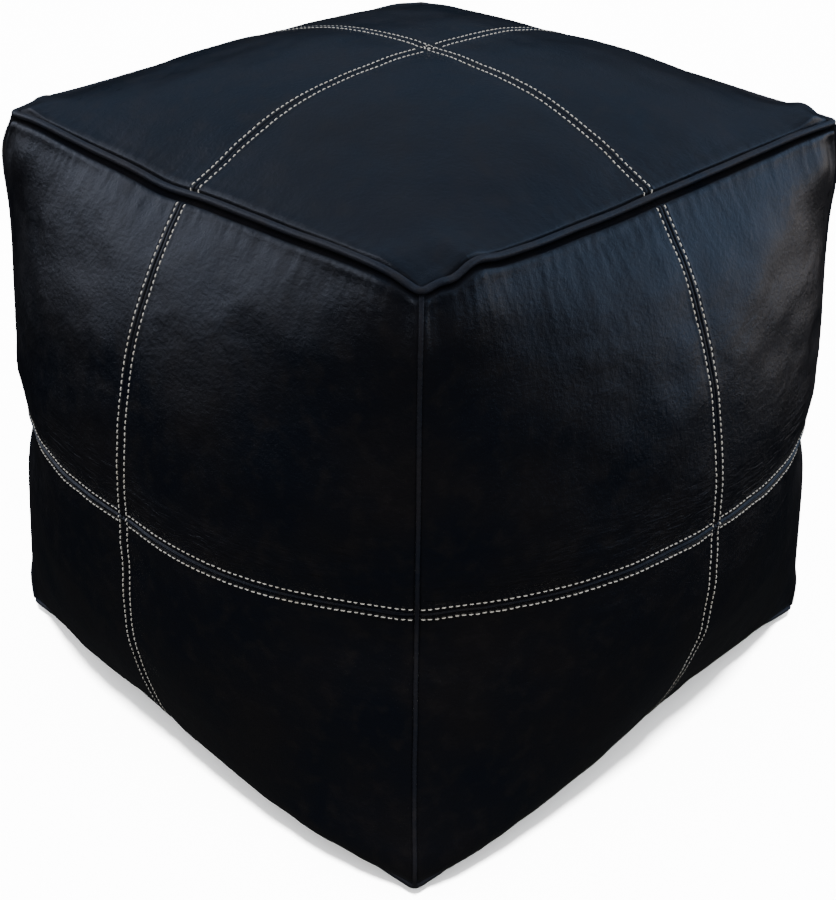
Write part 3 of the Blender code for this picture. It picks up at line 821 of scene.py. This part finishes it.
# Zip.
TAPE_INNER, TAPE_OUTER, TAPE_THICKNESS = 0.0034, 0.0200, 0.0006
TAPE_HEIGHT = 0.0088
TAPE_HALF_LENGTH = 0.1640
TEETH_INNER, TEETH_OUTER, TEETH_HIGH = 0.0008, 0.0031, 0.0026
TEETH_MIDDLE = 0.0091
TEETH_HALF_LENGTH = 0.1580
TEETH_PITCH = 0.0024
TOOTH_WIDTH = 0.0015
ZIP_ROW = 0.0126
ZIP_ROW_HALF_LENGTH = 0.1580


def add_tape(name, side, material):
    """A woven tape with a thicker corded edge beside the teeth."""
    x = np.linspace(-TAPE_HALF_LENGTH, TAPE_HALF_LENGTH, 420)
    y = np.linspace(TAPE_INNER, TAPE_OUTER, 26)
    ripple = 0.00012 * np.sin(x[:, None] / 0.0012) * np.sin(y[None, :] / 0.0009)
    cord = 0.00022 * bell(y[None, :] - 0.0045, 0.0009)
    thick = TAPE_THICKNESS / 2 + cord + 0 * ripple
    middle = TAPE_HEIGHT + TAPE_THICKNESS / 2 + ripple
    grid = np.stack(np.broadcast_arrays(x[:, None], side * y[None, :], middle), axis=-1)
    up = np.stack([0 * thick, 0 * thick, thick], axis=-1)
    faces = shell_faces(len(x), len(y))
    if side < 0:
        faces = faces[:, ::-1]
    points = np.concatenate([(grid + up).reshape(-1, 3), (grid - up).reshape(-1, 3)])
    add_piece(name, points, faces, material)


def add_teeth(name, side, shift, material):
    """A row of separate teeth, each with a rounded head and a root that grips the tape."""
    half_outline = np.array([(0.34, 0.0), (0.50, 0.35), (0.46, 1.0), (0.30, 1.4)])
    outline = np.concatenate([half_outline, half_outline[::-1] * (-1, 1)])
    outline[:, 0] *= TOOTH_WIDTH
    outline[:, 1] = TEETH_INNER + outline[:, 1] * (TEETH_OUTER - TEETH_INNER)
    middle = outline.mean(axis=0)
    levels = ((-0.5, 0.72), (-0.40, 1.0), (0.40, 1.0), (0.5, 0.72))
    tooth = []
    for level, size in levels:
        tooth.extend((*(middle + (corner - middle) * size), level * TEETH_HIGH) for corner in outline)
    faces = rod_faces(len(levels), len(outline))
    if side < 0:
        faces = [face[::-1] for face in faces]
    count = int((2 * TEETH_HALF_LENGTH - TOOTH_WIDTH) / TEETH_PITCH)
    points, quads = [], []
    for index in range(count):
        x = -TEETH_HALF_LENGTH + 0.0009 + shift + index * TEETH_PITCH
        placed = np.array(tooth) + [x, 0.0, TEETH_MIDDLE]
        placed[:, 1] *= side
        quads.extend([[corner + len(tooth) * index for corner in face] for face in faces])
        points.append(placed)
    add_piece(name, np.concatenate(points), quads, material, smooth=False)


def add_softened(name, body, width, material):
    """A hard part from its CAD solid, with its edges rounded off."""
    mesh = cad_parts[name].data.copy()
    made = bpy.data.objects.new(name, mesh)
    bpy.context.scene.collection.objects.link(made)
    mesh.materials.clear()
    mesh.materials.append(material)
    edited = bmesh.new()
    edited.from_mesh(mesh)
    bmesh.ops.remove_doubles(edited, verts=edited.verts, dist=1e-6)
    flat = math.radians(2)
    bmesh.ops.dissolve_limit(edited, angle_limit=flat, verts=edited.verts, edges=edited.edges)
    edited.to_mesh(mesh)
    edited.free()
    bevel = made.modifiers.new("rounding", "BEVEL")
    bevel.width = width
    bevel.segments = 3
    bevel.limit_method = "ANGLE"
    bevel.angle_limit = math.radians(25)
    bevel.harden_normals = False
    graph = bpy.context.evaluated_depsgraph_get()
    final = bpy.data.meshes.new_from_object(made.evaluated_get(graph))
    made.modifiers.clear()
    made.data = final
    final.polygons.foreach_set("use_smooth", [True] * len(final.polygons))
    dress(made, body, name)


def base_stitches(panels, material):
    """The rows that hold the zip's tapes."""
    for quarters, name in ((0, "base_thread_rear"), (2, "base_thread_front")):
        panel = panels[quarters]
        x = np.linspace(-ZIP_ROW_HALF_LENGTH, ZIP_ROW_HALF_LENGTH, 300)
        slot = np.interp(np.abs(x), ZIP_SLOT_END, (ZIP_SLOT_HALF_WIDTH, SEAM_HALF_GAP))
        share = (ZIP_ROW - slot) / (BASE_HALF - RIM_CLEARANCE - slot)
        points, normals = panel.at(x, share)
        add_stitches(name, [(points, normals, 0.0, 300 + quarters)], material)


# Materials.
def set_inputs(tree, target, inputs):
    """Gives TARGET its INPUTS: pairs of a name or number and a plain value or another node's output."""
    for key, value in inputs:
        if isinstance(value, bpy.types.NodeSocket):
            tree.links.new(value, target.inputs[key])
        else:
            target.inputs[key].default_value = value


def node(tree, kind, inputs=(), **settings):
    made = tree.nodes.new(kind)
    for key, value in settings.items():
        setattr(made, key, value)
    set_inputs(tree, made, inputs)
    return made


def new_material(name):
    """A material, its tree, its shader and, in that tree, the place on the object in metres."""
    material = bpy.data.materials.new(name)
    material.use_nodes = True
    tree = material.node_tree
    place = node(tree, "ShaderNodeTexCoord").outputs["Object"]
    return material, tree, tree.nodes["Principled BSDF"], place


def scaled_noise(tree, coordinates, size, detail=4.0, stretch=(1, 1, 1), distortion=0.0):
    """A noise texture whose features are about SIZE metres across."""
    scale = [1 / (size * part) for part in stretch]
    mapped = node(tree, "ShaderNodeMapping", [("Vector", coordinates), ("Scale", scale)]).outputs[0]
    inputs = [("Vector", mapped), ("Scale", 1.0), ("Detail", detail), ("Distortion", distortion)]
    return node(tree, "ShaderNodeTexNoise", inputs).outputs["Fac"]


def ramp(tree, factor, low, high, start, end):
    """FACTOR from START to END mapped to numbers from LOW to HIGH."""
    inputs = [("Value", factor), ("From Min", start), ("From Max", end), ("To Min", low), ("To Max", high)]
    return node(tree, "ShaderNodeMapRange", inputs).outputs["Result"]


def math_node(tree, operation, first, second):
    return node(tree, "ShaderNodeMath", [(0, first), (1, second)], operation=operation).outputs[0]


# Where a mix node takes its two colours, and where it gives the result.
MIX_FIRST, MIX_SECOND, MIX_RESULT = 6, 7, 2


def blended(tree, factor, first, second):
    """FIRST turning into SECOND as FACTOR goes from 0 to 1; each is a colour or a node's output."""
    first, second = [(*value, 1.0) if isinstance(value, tuple) else value for value in (first, second)]
    inputs = [("Factor", factor), (MIX_FIRST, first), (MIX_SECOND, second)]
    return node(tree, "ShaderNodeMix", inputs, data_type="RGBA").outputs[MIX_RESULT]


def add_bump(tree, shader, height):
    """Bumps on the surface, HEIGHT in metres."""
    bump = node(tree, "ShaderNodeBump", [("Height", height), ("Strength", 1.0), ("Distance", 1.0)])
    set_inputs(tree, shader, [("Normal", bump.outputs[0])])


LEATHER_GRAIN = 0.0011


def leather_material(name, lightness=1.0, matt=0.0):
    """Black waxed leather. LIGHTNESS and MATT make a lighter, more matt copy for the leather folded round
    a cord; its lighter colour is a painted highlight.
    """
    material, tree, shader, place = new_material(name)

    def shade(*colour):
        return tuple(lightness * part for part in colour)

    broad = scaled_noise(tree, place, 0.070, 3.0)
    mottle = scaled_noise(tree, place, 0.012, 5.0)
    blue, brown = shade(0.0050, 0.0062, 0.0095), shade(0.0085, 0.0080, 0.0092)
    colour = blended(tree, ramp(tree, broad, 0, 1, 0.35, 0.65), blue, brown)
    colour = blended(tree, ramp(tree, mottle, 0, 0.6, 0.5, 0.75), colour, shade(0.013, 0.0115, 0.0115))
    inputs = [("Vector", place), ("Scale", 1 / LEATHER_GRAIN)]
    cells = node(tree, "ShaderNodeTexVoronoi", inputs, feature="DISTANCE_TO_EDGE")
    grain = ramp(tree, cells.outputs["Distance"], 0, 1, 0.0, 0.18)
    pebble = scaled_noise(tree, place, 0.0026, 3.0)
    crease = scaled_noise(tree, place, 0.009, 4.0, (1, 1, 0.55), 0.8)
    streak = scaled_noise(tree, place, 0.007, 3.0, (1, 1, 4.0), 0.4)
    rough = ramp(tree, broad, 0.27, 0.35, 0.3, 0.7)
    rough = math_node(tree, "ADD", rough, ramp(tree, mottle, -0.04, 0.10, 0.3, 0.75))
    rough = math_node(tree, "ADD", rough, ramp(tree, grain, 0.06 + matt, matt, 0.0, 1.0))
    # Fine creases that lie along the level seams, just above them.
    level = scaled_noise(tree, place, 0.0030, 2.0, (5.0, 5.0, 1.0), 0.6)
    up = node(tree, "ShaderNodeSeparateXYZ", [("Vector", place)]).outputs["Z"]
    above = ramp(tree, up, 0.0, 1.0, 0.218, 0.228)
    above = math_node(tree, "MULTIPLY", above, ramp(tree, up, 1.0, 0.0, 0.240, 0.275))
    above = math_node(tree, "MULTIPLY", above, ramp(tree, broad, 0.2, 1.0, 0.42, 0.58))
    level = math_node(tree, "MULTIPLY", level, above)
    height = math_node(tree, "MULTIPLY", grain, 0.00005)
    for texture, depth in ((level, 0.0013), (pebble, 0.00038), (streak, 0.00030), (crease, 0.00028)):
        height = math_node(tree, "ADD", height, math_node(tree, "MULTIPLY", texture, depth))
    add_bump(tree, shader, height)
    set_inputs(tree, shader, [("Base Color", colour), ("Roughness", rough), ("Specular IOR Level", 0.55)])
    set_inputs(tree, shader, [("Coat Weight", 0.25), ("Coat Roughness", 0.26)])
    return material


def thread_material():
    material, tree, shader, place = new_material("off_white_waxed_thread")
    fibre = scaled_noise(tree, place, 0.0006, 3.0)
    wear_and_painted_highlight = scaled_noise(tree, place, 0.030, 3.0)
    colour = blended(tree, ramp(tree, fibre, 0, 1, 0.3, 0.7), (0.62, 0.58, 0.50), (0.84, 0.82, 0.76))
    colour = blended(tree, ramp(tree, wear_and_painted_highlight, 0, 0.5, 0.45, 0.8), colour, (0.50, 0.42, 0.30))
    set_inputs(tree, shader, [("Base Color", colour), ("Roughness", 0.62), ("Sheen Weight", 0.2)])
    add_bump(tree, shader, math_node(tree, "MULTIPLY", fibre, 0.00008))
    return material


def cloth_material(name, dark, light, size, roughness):
    """Spun fibre between two colours."""
    material, tree, shader, place = new_material(name)
    fibre = scaled_noise(tree, place, size, 4.0)
    colour = blended(tree, ramp(tree, fibre, 0, 1, 0.3, 0.7), dark, light)
    set_inputs(tree, shader, [("Base Color", colour), ("Roughness", roughness)])
    add_bump(tree, shader, math_node(tree, "MULTIPLY", fibre, size * 0.2))
    return material


def metal_material():
    material, tree, shader, place = new_material("gunmetal_zip")
    wear_and_painted_highlight = scaled_noise(tree, place, 0.004, 4.0)
    colour = blended(tree, ramp(tree, wear_and_painted_highlight, 0, 1, 0.35, 0.7), (0.10, 0.10, 0.11), (0.22, 0.21, 0.20))
    rough = ramp(tree, wear_and_painted_highlight, 0.28, 0.48, 0.3, 0.7)
    set_inputs(tree, shader, [("Base Color", colour), ("Metallic", 1.0), ("Roughness", rough)])
    return material


# Stage.
CAMERA_PLACE = Vector((0.7967, -0.8047, 0.8340))
CAMERA_AZIMUTH, CAMERA_ELEVATION, CAMERA_ROLL = 44.66, 30.79, 0.81
CAMERA_LENS = 67.08
FLOOR_SIDE = 30.0
FLOOR_GAP = 0.0004
PLAIN_WHITE = 13.0


def direction_to(azimuth, elevation):
    """The direction at AZIMUTH and ELEVATION in degrees; azimuth 0 is +X and 90 is +Y."""
    a, e = math.radians(azimuth), math.radians(elevation)
    return Vector((math.cos(a) * math.cos(e), math.sin(a) * math.cos(e), math.sin(e)))


def add_camera():
    azimuth, elevation, roll = map(math.radians, (CAMERA_AZIMUTH, CAMERA_ELEVATION, CAMERA_ROLL))
    back = Vector((math.sin(azimuth), -math.cos(azimuth), 0)) * math.cos(elevation)
    back.z = math.sin(elevation)
    right = (-back).cross(Vector((0, 0, 1))).normalized()
    up = right.cross(-back)
    rolled_right = right * math.cos(roll) + up * math.sin(roll)
    rolled_up = up * math.cos(roll) - right * math.sin(roll)
    data = bpy.data.cameras.new("camera")
    data.lens = CAMERA_LENS
    camera = bpy.data.objects.new("camera", data)
    turn = Matrix((rolled_right, rolled_up, back)).transposed().to_4x4()
    camera.matrix_world = Matrix.Translation(CAMERA_PLACE) @ turn
    bpy.context.scene.collection.objects.link(camera)
    bpy.context.scene.camera = camera


def add_floor():
    material, tree, shader, place = new_material("pale_floor")
    uneven = scaled_noise(tree, place, 0.35, 2.0)
    colour = blended(tree, uneven, (0.895, 0.895, 0.895), (0.915, 0.915, 0.912))
    set_inputs(tree, shader, [("Base Color", colour), ("Roughness", 0.9), ("Specular IOR Level", 0.0)])
    signs = ((-1, -1), (1, -1), (1, 1), (-1, 1))
    corners = [(x * FLOOR_SIDE, y * FLOOR_SIDE, -FLOOR_GAP) for x, y in signs]
    floor = add_mesh("floor", corners, [[0, 1, 2, 3]], material)
    floor.visible_glossy = False
    floor.visible_diffuse = False
    return floor


# The suns: strength, azimuth, elevation, how wide each looks in degrees, and whether it lights the
# floor alone. The last two show mostly on the threads, which are matt.
SUNS = (
    ("floor_light", 43.5, -45, 64, 8, True),
    ("floor_fill", 7.5, -45, 75, 110, True),
    ("thread_light", 3.2, -45, 50, 60, False),
    ("rear_thread_light", 1.6, 135, 30, 60, False),
)


def add_sun(name, strength, azimuth, elevation, spread, lit):
    """A broad soft light from a direction; LIT are the only objects that it reaches, if there are any."""
    data = bpy.data.lights.new(name, "SUN")
    data.energy = strength
    data.angle = math.radians(spread)
    sun = bpy.data.objects.new(name, data)
    back = direction_to(azimuth, elevation)
    sun.rotation_mode = "QUATERNION"
    sun.rotation_quaternion = back.to_track_quat("Z", "Y")
    sun.location = 3 * back
    sun.visible_glossy = False
    bpy.context.scene.collection.objects.link(sun)
    if lit:
        reached = bpy.data.collections.new(name + "_reaches")
        for item in lit:
            reached.objects.link(item)
        sun.light_linking.receiver_collection = reached


# The studio's soft panels. Each is lit where all its edges let it: an edge is the azimuth and the
# elevation of a direction, and the cosines to it from where the light begins to where it is full.
# Then come the colour and the strength.
PANELS = (
    (
        ((150, 68, 0.19, 0.35), (0, -90, -0.72, -0.36), (268, 0, -0.05, 0.14), (165, 0, -0.35, 0.45)),
        (0.75, 0.81, 1.00),
        1.18,
    ),
    (
        ((0, 90, -0.06, 0.07), (0, -90, -0.64, -0.30), (105, 0, 0.16, 0.42), (-15, 0, -0.50, -0.12)),
        (0.42, 0.63, 1.00),
        0.90,
    ),
    (((0, 90, 0.06, 0.42), (128, 0, -0.60, 0.10)), (0.44, 0.64, 1.00), 0.26),
    (
        ((110, 78, -0.08, 0.01), (0, -90, -0.08, 0.06), (105, 0, 0.28, 0.55), (-15, 0, -0.42, -0.12)),
        (1.00, 0.90, 0.84),
        0.80,
    ),
    (((0, -90, 0.30, 0.90),), (0.95, 0.97, 1.00), 0.030),
)


def add_world():
    """The soft panels, which the object mirrors; the camera itself sees plain white."""
    world = bpy.data.worlds.new("studio")
    bpy.context.scene.world = world
    world.use_nodes = True
    tree = world.node_tree
    tree.nodes.clear()
    direction = node(tree, "ShaderNodeTexCoord").outputs["Generated"]

    def edge(azimuth, elevation, begins, full):
        inputs = [(0, direction), (1, direction_to(azimuth, elevation))]
        dot = node(tree, "ShaderNodeVectorMath", inputs, operation="DOT_PRODUCT")
        inputs = [("Value", dot.outputs["Value"]), ("From Min", begins), ("From Max", full)]
        return node(tree, "ShaderNodeMapRange", inputs, interpolation_type="SMOOTHSTEP").outputs["Result"]

    def panel(edges, colour, strength):
        share = edge(*edges[0])
        for values in edges[1:]:
            share = math_node(tree, "MULTIPLY", share, edge(*values))
        inputs = [(0, [strength * part for part in colour]), ("Scale", share)]
        return node(tree, "ShaderNodeVectorMath", inputs, operation="SCALE").outputs[0]

    light = panel(*PANELS[0])
    for values in PANELS[1:]:
        inputs = [(0, light), (1, panel(*values))]
        light = node(tree, "ShaderNodeVectorMath", inputs, operation="ADD").outputs[0]
    soft = node(tree, "ShaderNodeBackground", [("Color", light)])
    plain = node(tree, "ShaderNodeBackground", [("Color", (1, 1, 1, 1)), ("Strength", PLAIN_WHITE)])
    seen = node(tree, "ShaderNodeLightPath").outputs["Is Camera Ray"]
    both = node(tree, "ShaderNodeMixShader", [(0, seen), (1, soft.outputs[0]), (2, plain.outputs[0])])
    node(tree, "ShaderNodeOutputWorld", [("Surface", both.outputs[0])])


def main():
    leather = leather_material("black_waxed_leather")
    # A lighter, more matt copy of the leather for the pipings and welts: the rougher finish is real, and
    # the lighter colour is a painted highlight along their ribs.
    wear_and_painted_highlight = leather_material("painted_highlight_black_leather", lightness=2.2, matt=0.16)
    thread = thread_material()
    cotton = cloth_material("cotton_cord_fibre", (0.42, 0.38, 0.30), (0.62, 0.58, 0.50), 0.0008, 0.9)
    fill = cloth_material("cotton_stuffing", (0.66, 0.62, 0.54), (0.84, 0.81, 0.75), 0.006, 0.95)
    tape = cloth_material("zip_tape_weave", (0.012, 0.012, 0.014), (0.030, 0.030, 0.032), 0.0007, 0.85)
    metal = metal_material()
    sides = {}
    for side, upper, right in itertools.product(range(4), (False, True), (False, True)):
        panel = side_panel(side, upper, right)
        sides[(side, upper, right)] = panel
        level, hand = "upper" if upper else "lower", "right" if right else "left"
        panel.build(f"{SIDES[side]}_panel_{level}_{hand}", leather)
    tops = [top_panel(quarters) for quarters in range(4)]
    for quarters, corner in enumerate(CORNERS):
        tops[quarters].build(f"top_panel_{corner}", leather)
    bases = {quarters: base_panel(quarters) for quarters in (0, 2)}
    for quarters, name in ((0, "base_panel_rear"), (2, "base_panel_front")):
        bases[quarters].build(name, leather)
    for side in range(4):
        side_stitches(side, sides, thread)
    top_stitches(tops, thread)
    # The pipings and welts take the copy with the painted highlight.
    add_piping("rim_piping", RIM_HALF, RIM_HEIGHT, math.radians(225), wear_and_painted_highlight, cotton)
    add_piping("base_piping", BASE_HALF, BASE_HEIGHT, math.radians(135), wear_and_painted_highlight, cotton)
    add_welts(wear_and_painted_highlight)
    base_stitches(bases, thread)
    add_stuffing(fill)
    add_tape("zip_tape_rear", 1, tape)
    add_tape("zip_tape_front", -1, tape)
    add_teeth("zip_teeth_rear", 1, 0.0, metal)
    add_teeth("zip_teeth_front", -1, TEETH_PITCH / 2, metal)
    for name in ("zip_stop_closed_end", "zip_stop_open_end"):
        add_softened(name, "cover", 0.00035, metal)
    add_softened("zip_slider", "slider", 0.00028, metal)
    add_softened("zip_pull_tab", "pull_tab", 0.00030, metal)
    floor = add_floor()
    add_world()
    for name, strength, azimuth, elevation, spread, floor_only in SUNS:
        add_sun(name, strength, azimuth, elevation, spread, [floor] if floor_only else [])
    add_camera()


main()
